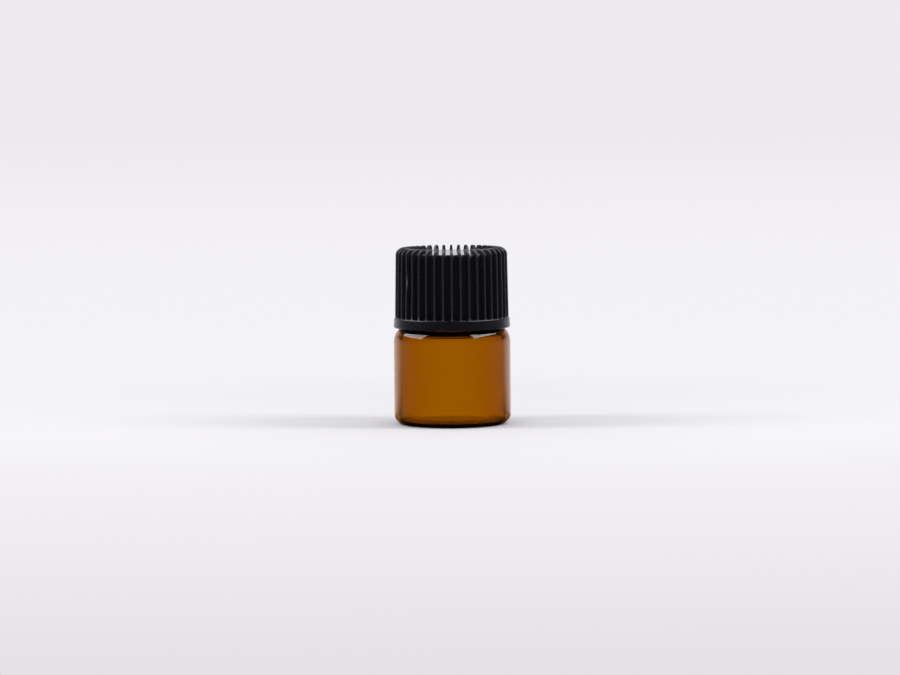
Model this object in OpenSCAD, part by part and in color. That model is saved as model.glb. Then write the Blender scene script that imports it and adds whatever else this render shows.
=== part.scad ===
// Amber glass sample vial with a ribbed black screw cap, 2 ml size.
// +Z is up. The origin is at the centre of the foot that the vial stands on.

/* [Glass body] */
// Outside diameter of the glass body
glass_d = 16.5; // [15.6:0.1:19]
// Height from the foot to the top of the shoulder
body_h = 13.6; // [10:0.1:30]
// Thickness of the glass wall
wall_t = 1; // [0.7:0.05:1.2]
// Thickness of the base
base_t = 0.6; // [0.5:0.1:2]
// Rounding of the heel, between wall and foot
heel_r = 1.5; // [0.6:0.1:1.8]
// Rounding of the shoulder, outside
shoulder_r = 1.5; // [1.3:0.05:1.8]
// Thickness of the glass under the shoulder's flat top
shoulder_t = 0.8; // [0.7:0.05:1.2]
// Rounding inside, between wall and floor
floor_r = 0.8; // [0.3:0.1:2]
// Width of the flat ring that the vial stands on
foot_w = 0.5; // [0.2:0.1:1]
// Rise of the base in the middle
push_up_h = 0.2; // [0.1:0.05:0.6]

/* [Glass neck] */
// Width of the shoulder, from the side of the body to the neck
shoulder_w = 2.75; // [2.5:0.05:3]
// Height of the neck above the shoulder
neck_h = 8.15; // [7.6:0.05:12]
// Thickness of the glass in the neck
neck_t = 1; // [0.7:0.05:1.4]
// Rounding where the neck stands on the shoulder
neck_fillet_r = 0.4; // [0.1:0.05:0.6]
// Rounding inside, where the shoulder turns up into the neck
throat_r = 0.8; // [0.3:0.1:1.2]
// Rounding of both edges of the lip
lip_r = 0.25; // [0.1:0.05:0.4]

/* [Screw thread] */
// Rise of the thread in one turn
thread_pitch = 2.12; // [2:0.01:2.4]
// Height of the thread above the neck
thread_h = 0.7; // [0.5:0.05:0.8]
// Width of the thread at the neck
thread_root_w = 1.05; // [0.9:0.05:1.1]
// Width of the thread at its crest
thread_crest_w = 0.45; // [0.3:0.05:0.5]
// Turns of thread on the neck
thread_turns = 1.75; // [1:0.25:2]
// Height from the shoulder to the middle of the thread's lower end
thread_start_h = 2.55; // [2.3:0.05:3]
// Angle over which each end of the thread fades into the neck
thread_fade = 40; // [20:5:60]
// Clearance between the thread's crest and the cap's skirt
thread_clear = 0.15; // [0.1:0.01:0.25]

/* [Cap] */
// Thickness of the cap's skirt between the ribs
skirt_t = 0.75; // [0.6:0.05:1]
// Thickness of the cap's top plate
plate_t = 1.3; // [0.8:0.05:1.8]
// Gap between the cap's rim and the glass shoulder
rim_gap = 0.1; // [0.05:0.05:0.4]
// Rounding of the top plate's edge, between the ribs
corner_r = 0.15; // [0.05:0.05:0.5]
// Width of the bevel inside the rim
rim_bevel_w = 0.35; // [0.1:0.05:0.5]
// Height of the smooth band above the rim
band_h = 1.4; // [0.8:0.1:2]
// How far the band stands out past the ribs
band_out = 0.12; // [0.11:0.01:0.3]
// How much the band widens from its top to its rim
band_flare = 0.07; // [0:0.01:0.15]
// Width of the bevels on the band's top and bottom edges
band_bevel_w = 0.1; // [0.05:0.01:0.1]

/* [Cap ribs] */
// Number of ribs round the cap
rib_count = 40; // [24:1:44]
// How far a rib stands out from the skirt, just above the band
rib_h = 0.93; // [0.7:0.01:1.1]
// Loss of that height from the band to the crown
rib_taper = 0.15; // [0:0.01:0.25]
// Width of a rib at its crest
rib_crest_w = 0.3; // [0.2:0.01:0.4]
// Width of a rib where it leaves the skirt
rib_root_w = 0.42; // [0.4:0.01:0.55]
// Height of the ribs' free ends above the top plate
crown_h = 0.75; // [0.4:0.05:1]
// Rounding of the crown's outer corner
crown_r = 1.05; // [0.5:0.05:1.3]
// How far the ribs' free ends reach in over the top plate, from the skirt
crown_reach = 0.75; // [0.3:0.05:1.5]

/* [Cap liner] */
// Thickness of the foamed liner between lip and cap
liner_t = 1.2; // [0.8:0.1:1.6]
// Clearance between the liner's edge and the cap's skirt
liner_clear = 0.1; // [0.05:0.01:0.2]

/* [Hidden] */
$fn = 96;
thread_facets = 36; // flat faces in one turn of thread
fade_from = 0.1; // share of the thread's height at its very end, inside the neck
embed = 0.2; // how deep a rib, band or thread is rooted, and how far a cut overruns
glass_r = glass_d / 2;
neck_r = glass_r - shoulder_w;
bore_r = neck_r - neck_t;
cavity_r = glass_r - wall_t;
foot_r = glass_r - heel_r;
throat_z = body_h - shoulder_t;
lip_z = body_h + neck_h;
thread_r = neck_r + thread_h;
skirt_in_r = thread_r + thread_clear;
skirt_r = skirt_in_r + skirt_t;
rim_z = body_h + rim_gap;
band_top_z = rim_z + band_h;
plate_under_z = lip_z + liner_t;
plate_z = plate_under_z + plate_t;
crown_z = plate_z + crown_h;
rib_low_r = skirt_r + rib_h;
rib_top_r = rib_low_r - rib_taper;
crown_in_r = skirt_r - crown_reach;
band_top_r = rib_low_r + band_out;
rim_r = band_top_r + band_flare;
liner_r = skirt_in_r - liner_clear;
thread_z = body_h + thread_start_h;

// Half section of a turned blank from z0 to z1, its two outer corners rounded.
module blank(r, z0, z1, low_r, top_r) {
    difference() {
        translate([0, z0]) square([r, z1 - z0]);
        translate([r - low_r, z0 + low_r]) outer_corner(low_r, -1);
        translate([r - top_r, z1 - top_r]) outer_corner(top_r, 1);
    }
}

// What a rounding of radius r takes off a corner: side is 1 at the top, -1 below.
module outer_corner(r, side) {
    difference() {
        translate([0, side > 0 ? 0 : -2 * r]) square(2 * r);
        circle(r);
    }
}

// What a fillet of radius r adds in the corner at the origin, open to +X and side.
module fillet(r, side) {
    difference() {
        translate([-embed, side > 0 ? -embed : -r]) square(r + embed);
        translate([r, side * r]) circle(r);
    }
}

// A disc section whose arc is h above the X axis on the centre line and meets it at r.
module dome(r, h) {
    sphere_r = (r * r + h * h) / (2 * h);
    translate([0, h - sphere_r]) circle(sphere_r, $fn = 720);
}

// A ridge that climbs the neck right-handed, of tapered section and faded at both ends.
module neck_thread() {
    steps = round(thread_turns * thread_facets);
    root_r = neck_r - embed;
    points = [
        for (i = [0:steps])
            let (
                angle = i * 360 / thread_facets,
                z = thread_z + thread_pitch * angle / 360,
                to_end = min(i, steps - i) * 360 / thread_facets,
                r = root_r + (thread_r - root_r) * min(1, fade_from + to_end / thread_fade),
                root_h = thread_root_w / 2,
                crest_h = thread_crest_w / 2,
                section = [[root_r, -root_h], [r, -crest_h], [r, crest_h], [root_r, root_h]]
            )
            each [for (p = section) [p.x * cos(angle), p.x * sin(angle), z + p.y]]
    ];
    sides = [
        for (i = [0:steps - 1], k = [0:3])
            let (a = 4 * i + k, b = 4 * i + (k + 1) % 4)
            each [[a, b, b + 4], [a, b + 4, a + 4]]
    ];
    ends = [[3, 2, 1, 0], [for (k = [0:3]) 4 * steps + k]];
    polyhedron(points, concat(sides, ends), convexity = 6);
}

// Section of one rib: a flat crest on the Y axis, drafted sides and a long root.
module rib_section() {
    crest_y = rib_crest_w / 2;
    root_y = rib_root_w / 2;
    inner_x = crown_in_r - rib_low_r - embed;
    polygon([
        [inner_x, -root_y],
        [-rib_h, -root_y],
        [0, -crest_y],
        [0, crest_y],
        [-rib_h, root_y],
        [inner_x, root_y]
    ]);
}

// One rib on the +X side. It leans in by its taper, and its foot is inside the band.
module rib() {
    lean = atan(rib_taper / (crown_z - band_top_z));
    translate([rib_low_r, 0, band_top_z]) rotate([0, -lean, 0])
        translate([0, 0, -band_h / 2]) linear_extrude(crown_z - rim_z) rib_section();
}

// Half section of the cap's body without ribs, to radius r and height z, corner rounded.
module body_section(r, z, z0) {
    difference() {
        translate([0, z0]) square([r, z - z0]);
        translate([r - corner_r, z - corner_r]) outer_corner(corner_r, 1);
    }
}

// All the ribs, rooted in the body and trimmed at the crown, whose corner is rounded.
module ribs() {
    foot_z = band_top_z - band_h / 2 + embed;
    root = embed / 2;
    intersection() {
        for (i = [0:rib_count - 1])
            rotate([0, 0, i * 360 / rib_count]) rib();
        rotate_extrude() difference() {
            translate([crown_in_r, foot_z]) square([crown_reach + rib_h + embed, crown_z - foot_z]);
            translate([rib_top_r - crown_r, crown_z - crown_r]) outer_corner(crown_r, 1);
            body_section(skirt_r - root, plate_z - root, rim_z);
        }
    }
}

// Smooth band round the rim, its two outer edges bevelled.
module band() {
    rotate_extrude() polygon([
        [skirt_r - embed, rim_z],
        [rim_r - band_bevel_w, rim_z],
        [rim_r, rim_z + band_bevel_w],
        [band_top_r, band_top_z - band_bevel_w],
        [band_top_r - band_bevel_w, band_top_z],
        [skirt_r - embed, band_top_z]
    ]);
}

// Blown glass in one piece: body, shoulder, threaded neck and lip.
module vial() {
    color([0.55, 0.3, 0.02]) {
        rotate_extrude() difference() {
            union() {
                blank(glass_r, 0, body_h, heel_r, shoulder_r);
                blank(neck_r, body_h - 2 * lip_r, lip_z, lip_r, lip_r);
                translate([neck_r, body_h]) fillet(neck_fillet_r, 1);
            }
            difference() {
                union() {
                    blank(cavity_r, base_t, throat_z, floor_r, shoulder_r - shoulder_t);
                    translate([0, throat_z - embed]) square([bore_r, lip_z - throat_z + 2 * embed]);
                    translate([bore_r, throat_z]) fillet(throat_r, 1);
                    translate([bore_r, lip_z]) fillet(lip_r, -1);
                }
                translate([0, base_t]) dome(cavity_r - floor_r, push_up_h);
            }
            dome(foot_r - foot_w, push_up_h);
        }
        neck_thread();
    }
}

// Soft disc that the cap presses on the lip.
module cap_liner() {
    color([0.93, 0.93, 0.9])
        translate([0, 0, lip_z]) cylinder(h = liner_t, r = liner_r);
}

// Moulded cap: skirt, top plate, band and ribs in one piece.
module cap() {
    bevel_h = rim_bevel_w + embed;
    color([0.06, 0.06, 0.06]) {
        difference() {
            union() {
                rotate_extrude() body_section(skirt_r, plate_z, rim_z);
                ribs();
                band();
            }
            translate([0, 0, rim_z - embed]) {
                cylinder(h = plate_under_z - rim_z + embed, r = skirt_in_r);
                cylinder(h = bevel_h, r1 = skirt_in_r + bevel_h, r2 = skirt_in_r);
            }
        }
    }
}

vial();
cap_liner();
cap();
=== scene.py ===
import bpy
import math
import numpy as np
from mathutils import Matrix, Vector


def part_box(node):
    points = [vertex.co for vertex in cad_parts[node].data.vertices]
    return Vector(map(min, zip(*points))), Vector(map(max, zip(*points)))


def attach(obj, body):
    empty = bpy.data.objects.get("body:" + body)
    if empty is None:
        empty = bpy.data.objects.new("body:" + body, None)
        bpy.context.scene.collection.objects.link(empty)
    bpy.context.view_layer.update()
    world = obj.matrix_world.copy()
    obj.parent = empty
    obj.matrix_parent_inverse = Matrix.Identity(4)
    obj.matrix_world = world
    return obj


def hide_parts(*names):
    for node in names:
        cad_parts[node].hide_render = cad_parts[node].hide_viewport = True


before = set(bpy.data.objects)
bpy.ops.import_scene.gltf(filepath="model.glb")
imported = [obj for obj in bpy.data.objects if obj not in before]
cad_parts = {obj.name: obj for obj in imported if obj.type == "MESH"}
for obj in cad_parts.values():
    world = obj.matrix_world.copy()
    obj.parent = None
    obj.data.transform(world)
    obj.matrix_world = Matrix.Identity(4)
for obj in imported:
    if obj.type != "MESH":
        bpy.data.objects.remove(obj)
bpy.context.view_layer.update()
mm = 0.001
print("stage 1: frame loaded")


def arc(centreR, centreZ, radius, fromDeg, toDeg, count, rise=1.0):
    # r = centreR + radius cos a, z = centreZ + rise radius sin a
    a = np.radians(np.linspace(fromDeg, toDeg, count))
    return np.column_stack((centreR + radius * np.cos(a), centreZ + rise * radius * np.sin(a)))


def run(start, end, count):
    # p = start + t (end - start), both ends left out, t in (0, 1)
    t = np.linspace(0, 1, count + 2)[1:-1, None]
    return np.array(start) + t * (np.array(end) - np.array(start))


def smooth(t):
    # 3 t^2 - 2 t^3 between 0 and 1
    t = np.clip(t, 0, 1)
    return t * t * (3 - 2 * t)


def threadRise(theta, z, thread):
    # height above the wall at angle theta and height z: a trapezoid ridge whose middle climbs
    # z0 + pitch t over t turns, eased at its flanks and faded at both ends
    turn = (theta / (2 * np.pi)) % 1
    lap = np.round((z - thread["startZ"]) / thread["pitch"] - turn)
    lap = np.clip(lap, 0, np.floor(thread["turns"] - turn))
    t = turn + lap
    off = np.abs(z - thread["startZ"] - thread["pitch"] * t)
    flank = (thread["rootWidth"] / 2 - off) / ((thread["rootWidth"] - thread["crestWidth"]) / 2)
    ends = np.minimum(t, thread["turns"] - t) * 360 / thread["fadeDeg"]
    return thread["height"] * smooth(flank) * smooth(ends)


def turned(r, z, theta):
    # x = r cos theta, y = r sin theta, z = z on a grid of rows (profile) by columns (angle)
    r, z, theta = np.broadcast_arrays(r, z, theta)
    return np.stack((r * np.cos(theta), r * np.sin(theta), z), -1)


def ringFaces(rows, cols, first):
    # quad (i, j) joins rows i and i + 1 over columns j and j + 1, closed round the axis
    ids = first + np.arange(rows * cols).reshape(rows, cols)
    low, high = ids[:-1], ids[1:]
    return np.stack((low, np.roll(low, -1, 1), np.roll(high, -1, 1), high), -1).reshape(-1, 4)


def fanFaces(ring, pole, flip):
    # triangles from one ring of vertices to the vertex on the axis
    following = np.roll(ring, -1)
    pair = (following, ring) if flip else (ring, following)
    return np.stack((*pair, np.full(len(ring), pole)), -1)


def makeMesh(name, points, faceSets, attributes=None):
    # one mesh from vertex rows in millimetres and arrays of quads and triangles
    mesh = bpy.data.meshes.new(name)
    mesh.vertices.add(len(points))
    mesh.vertices.foreach_set("co", (np.asarray(points) * mm).astype(np.float32).ravel())
    corners = np.concatenate([f.ravel() for f in faceSets])
    sizes = np.concatenate([np.full(len(f), f.shape[1]) for f in faceSets])
    mesh.loops.add(len(corners))
    mesh.loops.foreach_set("vertex_index", corners.astype(np.int32))
    mesh.polygons.add(len(sizes))
    starts = np.concatenate(([0], np.cumsum(sizes)[:-1]))
    mesh.polygons.foreach_set("loop_start", starts.astype(np.int32))
    mesh.polygons.foreach_set("use_smooth", np.ones(len(sizes), bool))
    for key, values in (attributes or {}).items():
        layer = mesh.attributes.new(key, "FLOAT", "POINT")
        layer.data.foreach_set("value", np.asarray(values, np.float32).ravel())
    mesh.update(calc_edges=True)
    mesh.validate()
    piece = bpy.data.objects.new(name, mesh)
    bpy.context.scene.collection.objects.link(piece)
    return piece


def makeTurned(name, r, z, theta, firstPole, lastPole):
    # a turned grid closed at both ends by fans to the axis, at the heights of the two poles
    rows, cols = r.shape
    count = rows * cols
    points = np.vstack((turned(r, z, theta).reshape(-1, 3), ((0, 0, firstPole), (0, 0, lastPole))))
    faces = [
        ringFaces(rows, cols, 0),
        fanFaces(np.arange(cols), count, True),
        fanFaces(np.arange(count - cols, count), count + 1, False),
    ]
    return makeMesh(name, points, faces)


def newMaterial(name):
    # an empty node material and its tree
    material = bpy.data.materials.new(name)
    material.use_nodes = True
    material.node_tree.nodes.clear()
    return material, material.node_tree


def addNode(tree, kind, settings=None, **values):
    # a node with its settings and the values of its sockets, whose spaces are written as _
    node = tree.nodes.new(kind)
    for key, value in (settings or {}).items():
        setattr(node, key, value)
    for key, value in values.items():
        node.inputs[key.replace("_", " ")].default_value = value
    return node


def wire(tree, *links):
    # links as (source, output, target, socket)
    for source, output, target, socket in links:
        tree.links.new(source.outputs[output], target.inputs[socket])


def mathNode(tree, operation, a, b):
    # one math step on two (node, output) pairs or numbers
    node = addNode(tree, "ShaderNodeMath", {"operation": operation})
    for place, value in enumerate((a, b)):
        if isinstance(value, tuple):
            tree.links.new(value[0].outputs[value[1]], node.inputs[place])
        else:
            node.inputs[place].default_value = value
    return node, "Value"


def ramp(tree, *stops):
    # colour ramp from (place, grey or colour) pairs
    node = tree.nodes.new("ShaderNodeValToRGB")
    elements = node.color_ramp.elements
    while len(elements) < len(stops):
        elements.new(0.5)
    for element, (place, tone) in zip(elements, stops):
        element.position = place
        element.color = (*((tone,) * 3 if np.isscalar(tone) else tone), 1)
    return node


glass = {
    # lengths in millimetres
    "wall": 1.0, "base": 0.6, "bodyHeight": 13.6, "heelRound": 1.5, "floorRound": 0.8,
    "footWidth": 0.5, "pushUp": 0.2,
    "neckRadius": 5.5, "neckWall": 1.0, "neckFillet": 0.4, "throatRound": 0.8, "lipRound": 0.25,
    # the shoulder's curves are taller than wide by rise, outside and inside
    "shoulderRound": 1.2, "shoulderRise": 1.667, "shoulderWall": 0.9, "inRound": 0.55, "inRise": 2.4,
    "columns": 256, "neckRows": 110, "threadClear": 0.5,
    # each surface tints what passes it, and the thickness of the wall does the rest
    "tint": (0.89, 0.70, 0.08), "absorbColour": (0.835, 0.6625, 0.25), "absorbDensity": 2000.0,
    "waveScale": (160, 160, 40), "waveStrength": 0.05, "waveHeight": 0.0002,
}
neckThread = {
    "pitch": 2.12, "startZ": 16.15, "turns": 1.75, "height": 0.7,
    "rootWidth": 1.05, "crestWidth": 0.45, "fadeDeg": 40,
}


def vialProfile(g, radius, lipZ):
    # closed half section, outside from the push-up to the lip, then inside back to the floor
    heel, floorR, base, top = g["heelRound"], g["floorRound"], g["base"], g["bodyHeight"]
    neck, fillet, throat, lip = g["neckRadius"], g["neckFillet"], g["throatRound"], g["lipRound"]
    shoulder, inRound = g["shoulderRound"], g["inRound"]
    inner, bore = radius - g["wall"], neck - g["neckWall"]
    throatZ = top - g["shoulderWall"]
    shoulderZ, inShoulderZ = top - shoulder * g["shoulderRise"], throatZ - inRound * g["inRise"]
    # both domes fall by pushUp (1 - (r / edge)^2) from the middle to their edge
    footR, floorEdge = radius - heel - g["footWidth"], inner - floorR
    domeR, bowlR = np.linspace(0, footR, 14)[1:], np.linspace(floorEdge, 0, 16)[1:-1]
    dome = g["pushUp"] * (1 - (domeR / footR) ** 2)
    bowl = base + g["pushUp"] * (1 - (bowlR / floorEdge) ** 2)
    outside = np.vstack((
        np.column_stack((domeR, dome)),
        arc(radius - heel, heel, heel, -90, 0, 14),
        run((radius, heel), (radius, shoulderZ), 20),
        arc(radius - shoulder, shoulderZ, shoulder, 0, 90, 24, g["shoulderRise"]),
        run((radius - shoulder, top), (neck + fillet, top), 3),
        arc(neck + fillet, top + fillet, fillet, -90, -180, 7),
        run((neck, top + fillet), (neck, lipZ - lip), g["neckRows"]),
        arc(neck - lip, lipZ - lip, lip, 0, 90, 6),
    ))
    inside = np.vstack((
        arc(bore + lip, lipZ - lip, lip, 90, 180, 6),
        run((bore, lipZ - lip), (bore, throatZ + throat), 12),
        arc(bore + throat, throatZ + throat, throat, 180, 270, 10),
        run((bore + throat, throatZ), (inner - inRound, throatZ), 4),
        arc(inner - inRound, inShoulderZ, inRound, 90, 0, 20, g["inRise"]),
        run((inner, inShoulderZ), (inner, base + floorR), 20),
        arc(inner - floorR, base + floorR, floorR, 0, -90, 12),
        np.column_stack((bowlR, bowl)),
    ))
    return outside, inside


def buildVial(g, thread):
    # the profile swept round the axis, with the thread's rise added to the neck's radius
    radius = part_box("vial")[1].x / mm
    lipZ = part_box("vial")[1].z / mm
    outside, inside = vialProfile(g, radius, lipZ)
    profile = np.vstack((outside, inside))
    theta = np.linspace(0, 2 * np.pi, g["columns"], endpoint=False)[None, :]
    r, z = profile[:, :1] + 0 * theta, profile[:, 1:] + 0 * theta
    isOutside = (np.arange(len(profile)) < len(outside))[:, None]
    onNeck = isOutside & (z > g["bodyHeight"] + g["threadClear"])
    r = r + np.where(onNeck, threadRise(theta, z, thread), 0)
    piece = makeTurned("glassBody", r, z, theta, g["pushUp"], g["base"] + g["pushUp"])
    print("stage 2: glass", len(piece.data.vertices), "vertices")
    return piece


def glassMaterial(g):
    # clear dielectric, tinted at its surface and by its thickness, with faint drawing lines
    material, tree = newMaterial("amberGlass")
    out = addNode(tree, "ShaderNodeOutputMaterial")
    shell = addNode(tree, "ShaderNodeBsdfPrincipled", Base_Color=(*g["tint"], 1), Roughness=0.0,
                    IOR=1.52, Transmission_Weight=1.0)
    absorb = addNode(tree, "ShaderNodeVolumeAbsorption", Color=(*g["absorbColour"], 1),
                     Density=g["absorbDensity"])
    place = addNode(tree, "ShaderNodeTexCoord")
    stretch = addNode(tree, "ShaderNodeMapping", Scale=g["waveScale"])
    waves = addNode(tree, "ShaderNodeTexNoise", Scale=1.0, Detail=2.0)
    bump = addNode(tree, "ShaderNodeBump", Strength=g["waveStrength"], Distance=g["waveHeight"])
    wire(tree,
         (place, "Object", stretch, "Vector"), (stretch, "Vector", waves, "Vector"),
         (waves, "Fac", bump, "Height"), (bump, "Normal", shell, "Normal"),
         (shell, "BSDF", out, "Surface"), (absorb, "Volume", out, "Volume"))
    return material


cap = {
    # lengths in millimetres, heights from the foot of the vial
    "boreRadius": 6.35, "boreRound": 0.15, "skirtRadius": 7.1, "bevel": 0.35,
    "rimZ": 13.7, "plateUnderZ": 22.95, "plateZ": 24.25, "cornerRound": 0.15,
    "bandHeight": 1.4, "bandTopRadius": 8.15, "rimRadius": 8.22, "bandRound": 0.15,
    "ribCount": 40, "ribLowRadius": 8.03, "ribTopRadius": 7.88, "ribFoot": 0.03,
    "crestWidth": 0.3, "rootWidth": 0.42, "rootFillet": 0.12, "flankShare": 0.45,
    "crownRound": 1.05, "crownInRadius": 6.35, "endRound": 0.1, "endGap": 0.12,
    "plateRings": (6.2, 6.0, 5.0, 4.0, 2.5, 1.0), "underRings": (1.5, 3.5, 5.3, 6.1),
    # the inner thread keeps clear of the rim and of the plate
    "rimClear": 0.4, "plateClear": 1.0,
    # the inside has one column for this many outside
    "innerEvery": 4,
    # painted lift of the whole ribbed part, which lightens its grooves, and what a crest has on top of it:
    # partly wear, partly painted highlight
    "ribbedPaintedLift": 0.4, "crestWearAndSheen": 0.4,
    # bent ribs: number, push at the crest, height of the middle, length
    "bentRibs": ((24, 0.2, 20.3, 1.6), (25, 0.07, 20.0, 1.4)),
    # light spots, a light patch on the bent rib, painted highlights on three rib feet and dust specks along
    # the rim: angle, radius, height, size, amount
    "lightSpots": ((216, 7.95, 20.3, 0.8, 0.45), (224, 8.0, 15.15, 0.3, 0.6), (233, 8.0, 15.15, 0.3, 0.5),
               (243, 8.0, 15.1, 0.2, 0.2), (212, 8.2, 13.8, 0.25, 0.8), (217, 8.2, 13.76, 0.2, 0.8),
               (228, 8.2, 13.76, 0.15, 0.9), (238, 8.2, 13.76, 0.18, 1.0), (260, 8.2, 13.76, 0.15, 0.8)),
    # tone by wear and painted sheen: plain face, groove lifted by painted fill, flank, rib crest lighter by
    # wear and painted highlight, light spot
    "tones": ((0.0, (0.0085, 0.009, 0.0115)), (0.4, (0.015, 0.016, 0.02)), (0.74, (0.017, 0.018, 0.022)),
              (0.8, (0.03, 0.031, 0.037)), (1.0, (0.32, 0.32, 0.34))),
    # roughness by a slow noise, and its share left on the polished top plate
    "roughness": ((0.3, 0.26), (0.75, 0.38)), "roughnessScale": 600.0, "plateShare": 0.25,
    "grainScale": 9000.0, "grainStrength": 0.25, "grainHeight": 0.00001,
}
capThread = {
    "pitch": 2.12, "startZ": 15.09, "turns": 1.5, "height": 0.7,
    "rootWidth": 1.05, "crestWidth": 0.45, "fadeDeg": 40,
}


def ribColumns(c):
    # one rib's columns as (share, side): share 1 on the crest and 0 in the groove, side in mm
    # from the rib's middle; the crest is a half circle, the flank a line, the root a fillet
    half, root = c["crestWidth"] / 2, c["rootWidth"] / 2
    height = c["ribLowRadius"] - c["skirtRadius"]
    a = np.radians(np.linspace(0, 90, 5))
    crest = np.column_stack((1 - half / height * (1 - np.cos(a)), half * np.sin(a)))
    flank = np.array(((c["flankShare"], half + (1 - c["flankShare"]) * (root - half)),))
    b = np.radians(np.linspace(0, 90, 4))
    fillet = c["rootFillet"]
    foot = np.column_stack((fillet / height * (1 - np.sin(b)), root + fillet * (1 - np.cos(b))))
    oneSide = np.vstack((crest, flank, foot))
    middle = np.pi * c["skirtRadius"] / c["ribCount"]
    groove = np.array(((0.0, middle),))
    left = oneSide[1:][::-1] * (1, -1)
    return np.vstack((left, oneSide, groove))


def capOutline(c, crownZ):
    # rows from the rim to the plate's middle: radius and height on the crest and in the groove
    bandTop = c["rimZ"] + c["bandHeight"]
    br, er, inR = c["bandRound"], c["endRound"], c["crownInRadius"]
    band = np.vstack((
        run((c["boreRadius"] + c["bevel"], c["rimZ"]), (c["rimRadius"] - br, c["rimZ"]), 2),
        arc(c["rimRadius"] - br, c["rimZ"] + br, br, -90, 0, 6),
        run((c["rimRadius"], c["rimZ"] + br), (c["bandTopRadius"], bandTop - br), 3),
        arc(c["bandTopRadius"] - br, bandTop - br, br, 0, 90, 6),
    ))
    cornerR, cornerZ = c["skirtRadius"] - c["cornerRound"], c["plateZ"] - c["cornerRound"]
    bendR, bendZ = c["ribTopRadius"] - c["crownRound"], crownZ - c["crownRound"]
    # a hair above the band, so that no two rows coincide
    footZ = bandTop + 0.001
    crestTop = np.vstack((
        run((c["ribLowRadius"], bandTop), (c["ribTopRadius"], bendZ), 30),
        arc(bendR, bendZ, c["crownRound"], 0, 90, 10),
        run((bendR, crownZ), (inR + er, crownZ), 2),
    ))
    crestEnd = np.vstack((
        arc(inR + er, crownZ - er, er, 90, 180, 4),
        run((inR, crownZ - er), (inR, c["plateZ"]), 3),
    ))
    # the groove keeps the crest's height up to the corner, then shares its way over the corner
    way = np.cumsum(np.hypot(*np.diff(crestTop, axis=0, prepend=crestTop[:1]).T))
    atCorner = np.interp(cornerZ, crestTop[:30, 1], way[:30])
    cornerLength = c["cornerRound"] * np.pi / 2
    past = np.clip((way - atCorner) / (way[-1] - atCorner), 0, 1) * (cornerLength + cornerR - inR)
    turn = np.minimum(past, cornerLength) / c["cornerRound"]
    grooveTop = np.column_stack((
        cornerR + c["cornerRound"] * np.cos(turn) - np.maximum(past - cornerLength, 0),
        np.where(past > 0, cornerZ + c["cornerRound"] * np.sin(turn), crestTop[:, 1]),
    ))
    grooveEnd = run((inR, c["plateZ"]), (inR - c["endGap"], c["plateZ"]), len(crestEnd))
    plate = np.column_stack((c["plateRings"], np.full(len(c["plateRings"]), c["plateZ"])))
    crest = np.vstack((band, ((c["ribLowRadius"] - c["ribFoot"], footZ),), crestTop, crestEnd, plate))
    groove = np.vstack((band, ((c["skirtRadius"], footZ),), grooveTop, grooveEnd, plate))
    return crest, groove, len(plate)


def capOutside(c, crest, groove):
    # p = groove + share (crest - groove) along the rib, turned by side / radius off its middle;
    # a bent rib's crest is pushed aside by push exp(-((z - middle) / length)^2)
    share, side = ribColumns(c).T
    perRib = len(share)
    share, side = np.tile(share, c["ribCount"]), np.tile(side, c["ribCount"])
    pitch = 2 * np.pi / c["ribCount"]
    rib = np.repeat(np.arange(c["ribCount"]), perRib)
    r = groove[:, :1] + share * (crest[:, :1] - groove[:, :1])
    z = groove[:, 1:] + share * (crest[:, 1:] - groove[:, 1:])
    ribbed = (crest[:, 0] != groove[:, 0])[:, None]
    pushed = sum((rib == which) * push * np.exp(-((z - middle) / length) ** 2)
                 for which, push, middle, length in c["bentRibs"])
    theta = rib * pitch + (side + pushed * ribbed * share) / np.maximum(r, c["crownInRadius"])
    inGroove = np.arange(len(share)) % perRib == perRib - 1
    theta = np.where(inGroove, (rib + 0.5) * pitch, theta)
    # the ribbed part lifted by painted fill; crests lighter still, partly wear and partly painted highlight
    wearAndSheen = c["ribbedPaintedLift"] * ribbed + c["crestWearAndSheen"] * ribbed * share
    return turned(r, z, theta), theta[0], wearAndSheen


def capInside(c, theta, thread):
    # from the plate's underside down to the bevel and the rim, r = profile - thread's rise
    bore, br, rimZ, underZ = c["boreRadius"], c["boreRound"], c["rimZ"], c["plateUnderZ"]
    profile = np.vstack((
        np.column_stack((c["underRings"], np.full(len(c["underRings"]), underZ))),
        arc(bore - br, underZ - br, br, 90, 0, 4),
        run((bore, underZ - br), (bore, rimZ + c["bevel"]), 130),
        run((bore, rimZ + c["bevel"] + 0.02), (bore + c["bevel"], rimZ), 2),
    ))
    r, z = profile[:, :1] + 0 * theta, profile[:, 1:] + 0 * theta
    threaded = (z > rimZ + c["rimClear"]) & (z < underZ - c["plateClear"])
    return turned(r - np.where(threaded, threadRise(theta, z, thread), 0), z, theta)


def rimFaces(rimOuter, rimInner):
    # joins the rim's outer ring to an inner one that has fewer vertices: a fan of triangles from
    # each inner vertex to its own group of outer ones, then one triangle to the next group
    rimOuter = rimOuter.reshape(len(rimInner), -1)
    following = np.roll(rimOuter[:, 0], -1)
    fans = np.stack((rimOuter, np.column_stack((rimOuter[:, 1:], following))), -1).reshape(-1, 2)
    stitch = np.column_stack((fans[:, ::-1], np.repeat(rimInner, rimOuter.shape[1])))
    gaps = np.column_stack((rimInner, np.roll(rimInner, -1), following))
    return [stitch, gaps]


def withLightSpots(wearAndSheen, points, lightSpots):
    # w + (1 - w) amount exp(-(distance / size)^2), w the value so far, for each light spot: painted
    # highlight, dust speck or light patch
    for angle, radius, height, size, amount in lightSpots:
        a = math.radians(angle)
        spot = (radius * math.cos(a), radius * math.sin(a), height)
        off = np.linalg.norm(points - spot, axis=1)
        wearAndSheen = wearAndSheen + (1 - wearAndSheen) * amount * np.exp(-(off / size) ** 2)
    return wearAndSheen


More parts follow.
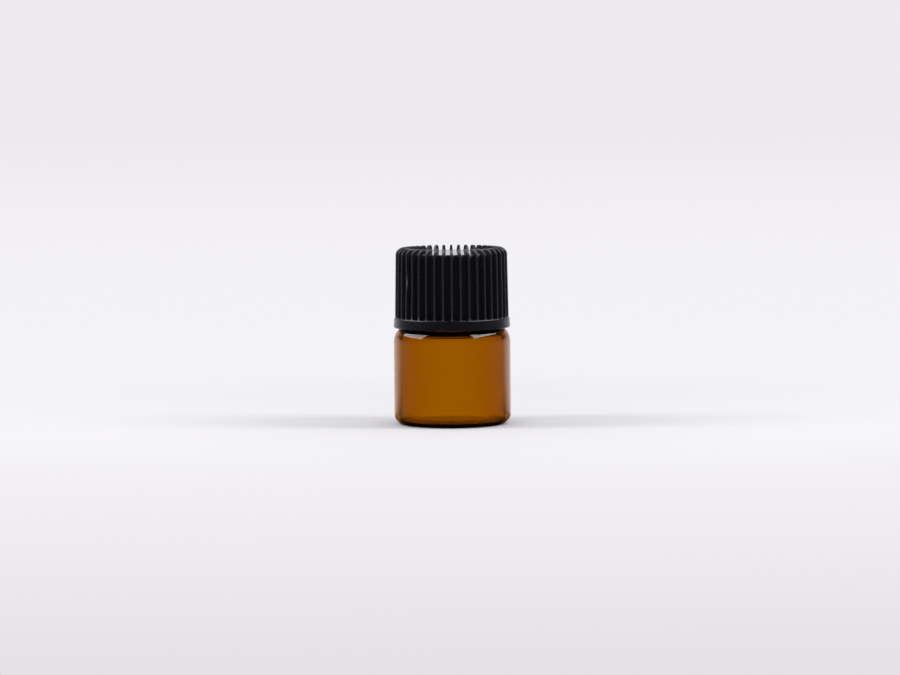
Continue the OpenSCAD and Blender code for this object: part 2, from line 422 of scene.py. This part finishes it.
def buildCap(c, thread):
    # ribbed outside and threaded inside as two closed grids, joined along the rim
    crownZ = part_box("cap")[1].z / mm
    crest, groove, plateRows = capOutline(c, crownZ)
    outer, theta, ribWearAndSheen = capOutside(c, crest, groove)
    inner = capInside(c, theta[None, ::c["innerEvery"]], thread)
    rows, cols = outer.shape[:2]
    inRows, inCols = inner.shape[:2]
    outCount, total = rows * cols, rows * cols + inRows * inCols
    poles = ((0, 0, c["plateZ"]), (0, 0, c["plateUnderZ"]))
    points = np.vstack((outer.reshape(-1, 3), inner.reshape(-1, 3), poles))
    faces = [
        ringFaces(rows, cols, 0),
        fanFaces(np.arange(outCount - cols, outCount), total, False),
        ringFaces(inRows, inCols, outCount),
        fanFaces(np.arange(outCount, outCount + inCols), total + 1, True),
        *rimFaces(np.arange(cols), np.arange(total - inCols, total)),
    ]
    wearAndSheen, flatTop = np.zeros(total + 2), np.zeros(total + 2)
    wearAndSheen[:outCount] = ribWearAndSheen.ravel()
    flatTop[outCount - plateRows * cols:outCount] = 1
    flatTop[total] = 1
    # the ribs' painted fill, their crests' wear and painted highlight, and the light spots
    attributes = {"wearAndSheen": withLightSpots(wearAndSheen, points, c["lightSpots"]), "flatTop": flatTop}
    piece = makeMesh("ribbedCap", points, faces, attributes)
    print("stage 3: cap", len(piece.data.vertices), "vertices")
    return piece


def capMaterial(c):
    # moulded black: fine bump, slightly uneven gloss, the ribbed part lifted by painted fill and its crests
    # lighter still by wear and painted highlight
    material, tree = newMaterial("blackPlastic")
    out = addNode(tree, "ShaderNodeOutputMaterial")
    skin = addNode(tree, "ShaderNodeBsdfPrincipled", IOR=1.49)
    place = addNode(tree, "ShaderNodeTexCoord")
    uneven = addNode(tree, "ShaderNodeTexNoise", Scale=c["roughnessScale"], Detail=4.0)
    grain = addNode(tree, "ShaderNodeTexNoise", Scale=c["grainScale"], Detail=2.0)
    gloss = ramp(tree, *c["roughness"])
    flatTop = addNode(tree, "ShaderNodeAttribute", {"attribute_name": "flatTop"})
    polished = addNode(tree, "ShaderNodeMapRange", To_Min=1.0, To_Max=c["plateShare"])
    roughness = mathNode(tree, "MULTIPLY", (gloss, "Color"), (polished, "Result"))
    # lighter by wear and by the painted fill and highlight on the ribs
    wearAndSheen = addNode(tree, "ShaderNodeAttribute", {"attribute_name": "wearAndSheen"})
    wearAndSheenTone = ramp(tree, *c["tones"])
    bump = addNode(tree, "ShaderNodeBump", Strength=c["grainStrength"], Distance=c["grainHeight"])
    wire(tree,
         (place, "Object", uneven, "Vector"), (place, "Object", grain, "Vector"),
         (flatTop, "Fac", polished, "Value"), (uneven, "Fac", gloss, "Fac"),
         (*roughness, skin, "Roughness"),
         (wearAndSheen, "Fac", wearAndSheenTone, "Fac"), (wearAndSheenTone, "Color", skin, "Base Color"),
         (grain, "Fac", bump, "Height"), (bump, "Normal", skin, "Normal"),
         (skin, "BSDF", out, "Surface"))
    return material


liner = {
    "edgeRound": 0.15, "columns": 160, "innerRing": 0.6,
    # ring that the lip presses into the underside: depth, radius, half width
    "lipMark": 0.06, "markRadius": 5.0, "markWidth": 0.45,
    # tone by distance from the middle of a cell
    "tones": ((0.0, (0.70, 0.70, 0.67)), (0.6, (0.83, 0.83, 0.80))), "roughness": 0.55,
    "cellScale": 5200.0, "cellStrength": 0.4, "cellHeight": 0.00003,
}


def buildLiner(s):
    # a disc whose underside is pressed up by the lip: z = z0 + mark exp(-((r - radius) / width)^4)
    low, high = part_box("cap_liner")
    radius, z0, z1 = high.x / mm, low.z / mm, high.z / mm
    er = s["edgeRound"]
    ringR = np.linspace(s["innerRing"], radius - er, 30)[:-1]
    mark = s["lipMark"] * np.exp(-((ringR - s["markRadius"]) / s["markWidth"]) ** 4)
    topR = ringR[::-4]
    profile = np.vstack((
        np.column_stack((ringR, z0 + mark)),
        arc(radius - er, z0 + er, er, -90, 0, 5),
        arc(radius - er, z1 - er, er, 0, 90, 5),
        np.column_stack((topR, np.full(len(topR), z1))),
    ))
    theta = np.linspace(0, 2 * np.pi, s["columns"], endpoint=False)[None, :]
    r, z = profile[:, :1] + 0 * theta, profile[:, 1:] + 0 * theta
    piece = makeTurned("foamLiner", r, z, theta, z0, z1)
    print("stage 4: liner", len(piece.data.vertices), "vertices")
    return piece


def linerMaterial(s):
    # closed foam: small cells that darken and dent the white surface
    material, tree = newMaterial("linerFoam")
    out = addNode(tree, "ShaderNodeOutputMaterial")
    foam = addNode(tree, "ShaderNodeBsdfPrincipled", Roughness=s["roughness"])
    place = addNode(tree, "ShaderNodeTexCoord")
    cells = addNode(tree, "ShaderNodeTexVoronoi", Scale=s["cellScale"])
    tint = ramp(tree, *s["tones"])
    bump = addNode(tree, "ShaderNodeBump", Strength=s["cellStrength"], Distance=s["cellHeight"])
    wire(tree,
         (place, "Object", cells, "Vector"), (cells, "Distance", tint, "Fac"),
         (tint, "Color", foam, "Base Color"), (cells, "Distance", bump, "Height"),
         (bump, "Normal", foam, "Normal"), (foam, "BSDF", out, "Surface"))
    return material


vialPiece = buildVial(glass, neckThread)
vialPiece.data.materials.append(glassMaterial(glass))
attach(vialPiece, "vial")
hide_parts("vial")

capPiece = buildCap(cap, capThread)
capPiece.data.materials.append(capMaterial(cap))
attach(capPiece, "cap")
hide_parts("cap")

linerPiece = buildLiner(liner)
linerPiece.data.materials.append(linerMaterial(liner))
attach(linerPiece, "liner")
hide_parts("cap_liner")


studio = {
    # lit paper near the object, a glow further out, distances in metres
    "firstRing": 0.01, "reach": 6.0, "rings": 24, "columns": 96,
    "paper": (0.90, 0.885, 0.92), "paperFrom": 0.03, "paperTo": 0.09,
    # a little glow over the shadows, clear of the contact line
    "hazeFrom": 0.0082, "hazeTo": 0.013, "hazeGlow": 0.2,
    # tone of the backdrop by its distance behind the object, in metres: darker towards the front and far
    # back, a painted falloff of the studio light
    "nearest": -0.25, "furthest": 1.75,
    "backdrop": ((-0.22, (0.775, 0.755, 0.795)), (-0.14, (0.855, 0.83, 0.87)), (-0.03, (0.905, 0.89, 0.925)),
                 (0.3, (0.90, 0.885, 0.92)), (1.5, (0.847, 0.815, 0.855))),
    # what gloss and glass meet, from the dark side in front of the object (0) to the backdrop (1)
    "around": ((0.0, 0.0), (0.3, 0.01), (0.54, 0.12), (0.67, 0.2), (0.75, 0.32), (0.86, 0.9), (0.95, 1.0)),
    # the same by height: sine of the elevation, dark overhead
    "above": ((0.0, 1.0), (0.08, 0.9), (0.14, 0.1), (1.0, 0.05)),
    # the backdrop's own directions are left bright at any height: a high power keeps only them
    "behindPower": 16.0,
    # where rays straight through the glass start to see an open front, in metres from the axis
    "openFrom": 0.0085, "openTo": 0.014,
    "worldStrength": 0.57, "horizon": (0.847, 0.815, 0.855),
    # everything above the floor is aimed at this height
    "aimHeight": 0.012,
    # lamps: name, azimuth, elevation, power
    "lampDistance": 0.25, "lampWidth": 0.06, "lampHeight": 0.16,
    "lamps": (("lampLeft", -85, 37, 0.24), ("lampRight", 79, 40, 0.24)),
    # faces of the two softboxes as gloss shows them: name, azimuth and elevation of their corners, tone
    "boxDistance": 0.45, "boxColour": (0.94, 0.96, 1.0),
    "boxes": (("boxFaceLeft", ((-122, 20), (-145, 42), (-100, 84), (-66, 22)), 4.4),
              ("boxFaceRight", ((123, 31), (155, 55), (90, 84), (48, 28)), 5.5)),
}


def straightThrough(tree, path):
    # 1 for rays that glass has bent but nothing has mirrored
    return mathNode(tree, "MULTIPLY", (path, "Is Transmission Ray"),
                    mathNode(tree, "LESS_THAN", (path, "Glossy Depth"), 0.5))


def aroundTone(tree, place, output, openRays, s):
    # tone by direction from the axis: side = ramp of (y / |p| + 1) / 2, 0 in front and 1 behind, and
    # above = ramp of z / |p|, so that overhead is dark; tone = max(side, openRays) max(side^n, above),
    # where openRays is 1 for rays that see the front bright too
    unit = addNode(tree, "ShaderNodeVectorMath", {"operation": "NORMALIZE"})
    parts = addNode(tree, "ShaderNodeSeparateXYZ")
    half = addNode(tree, "ShaderNodeMath", {"operation": "MULTIPLY_ADD"})
    half.inputs[1].default_value = half.inputs[2].default_value = 0.5
    side, above = ramp(tree, *s["around"]), ramp(tree, *s["above"])
    wire(tree, (place, output, unit, 0), (unit, "Vector", parts, "Vector"), (parts, "Y", half, 0),
         (half, "Value", side, "Fac"), (parts, "Z", above, "Fac"))
    behind = mathNode(tree, "POWER", (side, "Color"), s["behindPower"])
    shade = mathNode(tree, "MAXIMUM", behind, (above, "Color"))
    return mathNode(tree, "MULTIPLY", mathNode(tree, "MAXIMUM", (side, "Color"), openRays), shade)


def backgroundMask(tree, path):
    # 1 for camera, glossy and transmission rays, 0 for rays that only light the object
    either = mathNode(tree, "MAXIMUM", (path, "Is Camera Ray"), (path, "Is Glossy Ray"))
    return mathNode(tree, "MAXIMUM", either, (path, "Is Transmission Ray"))


def smoothRange(tree, low, high, top=1.0):
    # eased from 0 at low to top at high
    return addNode(tree, "ShaderNodeMapRange", {"interpolation_type": "SMOOTHSTEP"},
                   From_Min=low, From_Max=high, To_Max=top)


def floorMaterial(s):
    # shader = paper (1 - share) + glow share, then black by (1 - around) for rays from gloss and glass
    material, tree = newMaterial("paperFloor")
    out = addNode(tree, "ShaderNodeOutputMaterial")
    paper = addNode(tree, "ShaderNodeBsdfDiffuse", Color=(*s["paper"], 1))
    glow = addNode(tree, "ShaderNodeEmission")
    unlit = addNode(tree, "ShaderNodeEmission", Strength=0.0)
    place = addNode(tree, "ShaderNodeTexCoord")
    away = addNode(tree, "ShaderNodeVectorMath", {"operation": "LENGTH"})
    fade = smoothRange(tree, s["paperFrom"], s["paperTo"])
    haze = smoothRange(tree, s["hazeFrom"], s["hazeTo"], s["hazeGlow"])
    far = addNode(tree, "ShaderNodeMapRange", From_Min=s["openFrom"], From_Max=s["openTo"])
    parts = addNode(tree, "ShaderNodeSeparateXYZ")
    depth = addNode(tree, "ShaderNodeMapRange", From_Min=s["nearest"], From_Max=s["furthest"])
    span = s["furthest"] - s["nearest"]
    # the glow's tone, a painted falloff of light: darker towards the front and far back
    tone = ramp(tree, *(((y - s["nearest"]) / span, colour) for y, colour in s["backdrop"]))
    path = addNode(tree, "ShaderNodeLightPath")
    openRays = mathNode(tree, "MULTIPLY", straightThrough(tree, path), (far, "Result"))
    around = aroundTone(tree, place, "Object", openRays, s)
    hidden = mathNode(tree, "MULTIPLY", mathNode(tree, "SUBTRACT", 1.0, around), (path, "Is Glossy Ray"))
    share = mathNode(tree, "MAXIMUM", (fade, "Result"), (haze, "Result"))
    share = mathNode(tree, "MAXIMUM", share, (path, "Is Transmission Ray"))
    mix = addNode(tree, "ShaderNodeMixShader")
    shaded = addNode(tree, "ShaderNodeMixShader")
    wire(tree,
         (place, "Object", away, 0), (away, "Value", fade, "Value"), (away, "Value", far, "Value"),
         (away, "Value", haze, "Value"),
         (place, "Object", parts, "Vector"), (parts, "Y", depth, "Value"),
         (depth, "Result", tone, "Fac"), (tone, "Color", glow, "Color"),
         (*backgroundMask(tree, path), glow, "Strength"),
         (*share, mix, "Fac"), (paper, "BSDF", mix, 1), (glow, "Emission", mix, 2),
         (*hidden, shaded, "Fac"), (mix, "Shader", shaded, 1), (unlit, "Emission", shaded, 2),
         (shaded, "Shader", out, "Surface"))
    return material


def buildFloor(s):
    # a flat disc in rings at z = 0, each a fixed ratio wider than the last
    rings, cols = s["rings"], s["columns"]
    r = np.geomspace(s["firstRing"], s["reach"], rings)[:, None] / mm
    theta = np.linspace(0, 2 * np.pi, cols, endpoint=False)[None, :]
    points = turned(r, 0 * r, theta).reshape(-1, 3)
    faces = [ringFaces(rings, cols, 0)[:, ::-1], fanFaces(np.arange(cols), len(points), False)]
    floor = makeMesh("floor", np.vstack((points, ((0, 0, 0),))), faces)
    floor.data.materials.append(floorMaterial(s))


def buildWorld(s):
    # the backdrop's tone for camera rays, darker in front for gloss and glass, even light for the rest
    world = bpy.data.worlds.new("studioWorld")
    bpy.context.scene.world = world
    world.use_nodes = True
    tree = world.node_tree
    tree.nodes.clear()
    out = addNode(tree, "ShaderNodeOutputWorld")
    seen = addNode(tree, "ShaderNodeBackground", Color=(*s["horizon"], 1))
    fill = addNode(tree, "ShaderNodeBackground", Color=(1, 1, 1, 1), Strength=s["worldStrength"])
    path = addNode(tree, "ShaderNodeLightPath")
    place = addNode(tree, "ShaderNodeTexCoord")
    around = aroundTone(tree, place, "Generated", straightThrough(tree, path), s)
    strength = mathNode(tree, "MAXIMUM", around, (path, "Is Camera Ray"))
    mix = addNode(tree, "ShaderNodeMixShader")
    wire(tree,
         (*strength, seen, "Strength"), (*backgroundMask(tree, path), mix, "Fac"),
         (fill, "Background", mix, 1), (seen, "Background", mix, 2), (mix, "Shader", out, "Surface"))


def towards(azimuth, elevation):
    # unit vector: azimuth 0 is the camera's side, 90 is +X; elevation up from the floor
    a, e = math.radians(azimuth), math.radians(elevation)
    return Vector((math.sin(a) * math.cos(e), -math.cos(a) * math.cos(e), math.sin(e)))


def addLamp(s, name, azimuth, elevation, power):
    # an area lamp that lights the object; gloss shows the softbox's face instead
    away = towards(azimuth, elevation)
    lamp = bpy.data.lights.new(name, "AREA")
    lamp.shape, lamp.size, lamp.size_y, lamp.energy = "RECTANGLE", s["lampWidth"], s["lampHeight"], power
    holder = bpy.data.objects.new(name, lamp)
    holder.location = away * s["lampDistance"] + Vector((0, 0, s["aimHeight"]))
    holder.rotation_euler = away.to_track_quat("Z", "Y").to_euler()
    holder.visible_camera = holder.visible_glossy = holder.visible_transmission = False
    bpy.context.scene.collection.objects.link(holder)


def addBoxFace(s, name, corners, tone):
    # a glowing four-cornered face that only gloss sees
    aim = Vector((0, 0, s["aimHeight"]))
    points = [(towards(*corner) * s["boxDistance"] + aim) / mm for corner in corners]
    face = makeMesh(name, points, [np.array(((0, 1, 2, 3),))])
    material, tree = newMaterial(name + "Glow")
    out = addNode(tree, "ShaderNodeOutputMaterial")
    glow = addNode(tree, "ShaderNodeEmission", Color=(*s["boxColour"], 1), Strength=tone)
    wire(tree, (glow, "Emission", out, "Surface"))
    face.data.materials.append(material)
    face.visible_camera = face.visible_diffuse = face.visible_transmission = face.visible_shadow = False


view = {
    # angles in degrees, distances in metres, lens and sensor in millimetres
    "azimuth": -0.1, "elevation": 4.4, "roll": 0.5, "distance": 0.566, "aimX": -0.00029, "aimZ": 0.0122,
    "lens": 160, "sensorWidth": 36, "clipStart": 0.01,
}


def buildCamera(v):
    # stands at right aimX + up aimZ + back distance, back = towards(azimuth, elevation), and is rolled
    # by up cos roll + right sin roll
    back = towards(v["azimuth"], v["elevation"])
    a, roll = math.radians(v["azimuth"]), math.radians(v["roll"])
    right = Vector((math.cos(a), math.sin(a), 0))
    up = back.cross(right)
    tiltedUp = up * math.cos(roll) + right * math.sin(roll)
    tiltedRight = tiltedUp.cross(back)
    spot = right * v["aimX"] + Vector((0, 0, v["aimZ"])) + back * v["distance"]
    data = bpy.data.cameras.new("camera")
    data.lens, data.sensor_width, data.clip_start = v["lens"], v["sensorWidth"], v["clipStart"]
    camera = bpy.data.objects.new("camera", data)
    camera.matrix_world = Matrix((
        (tiltedRight.x, tiltedUp.x, back.x, spot.x),
        (tiltedRight.y, tiltedUp.y, back.y, spot.y),
        (tiltedRight.z, tiltedUp.z, back.z, spot.z),
        (0, 0, 0, 1),
    ))
    bpy.context.scene.collection.objects.link(camera)
    bpy.context.scene.camera = camera


buildFloor(studio)
buildWorld(studio)
for lampValues in studio["lamps"]:
    addLamp(studio, *lampValues)
for boxValues in studio["boxes"]:
    addBoxFace(studio, *boxValues)
buildCamera(view)
bpy.context.scene.view_settings.view_transform = "Standard"
print("stage 5: studio and camera")
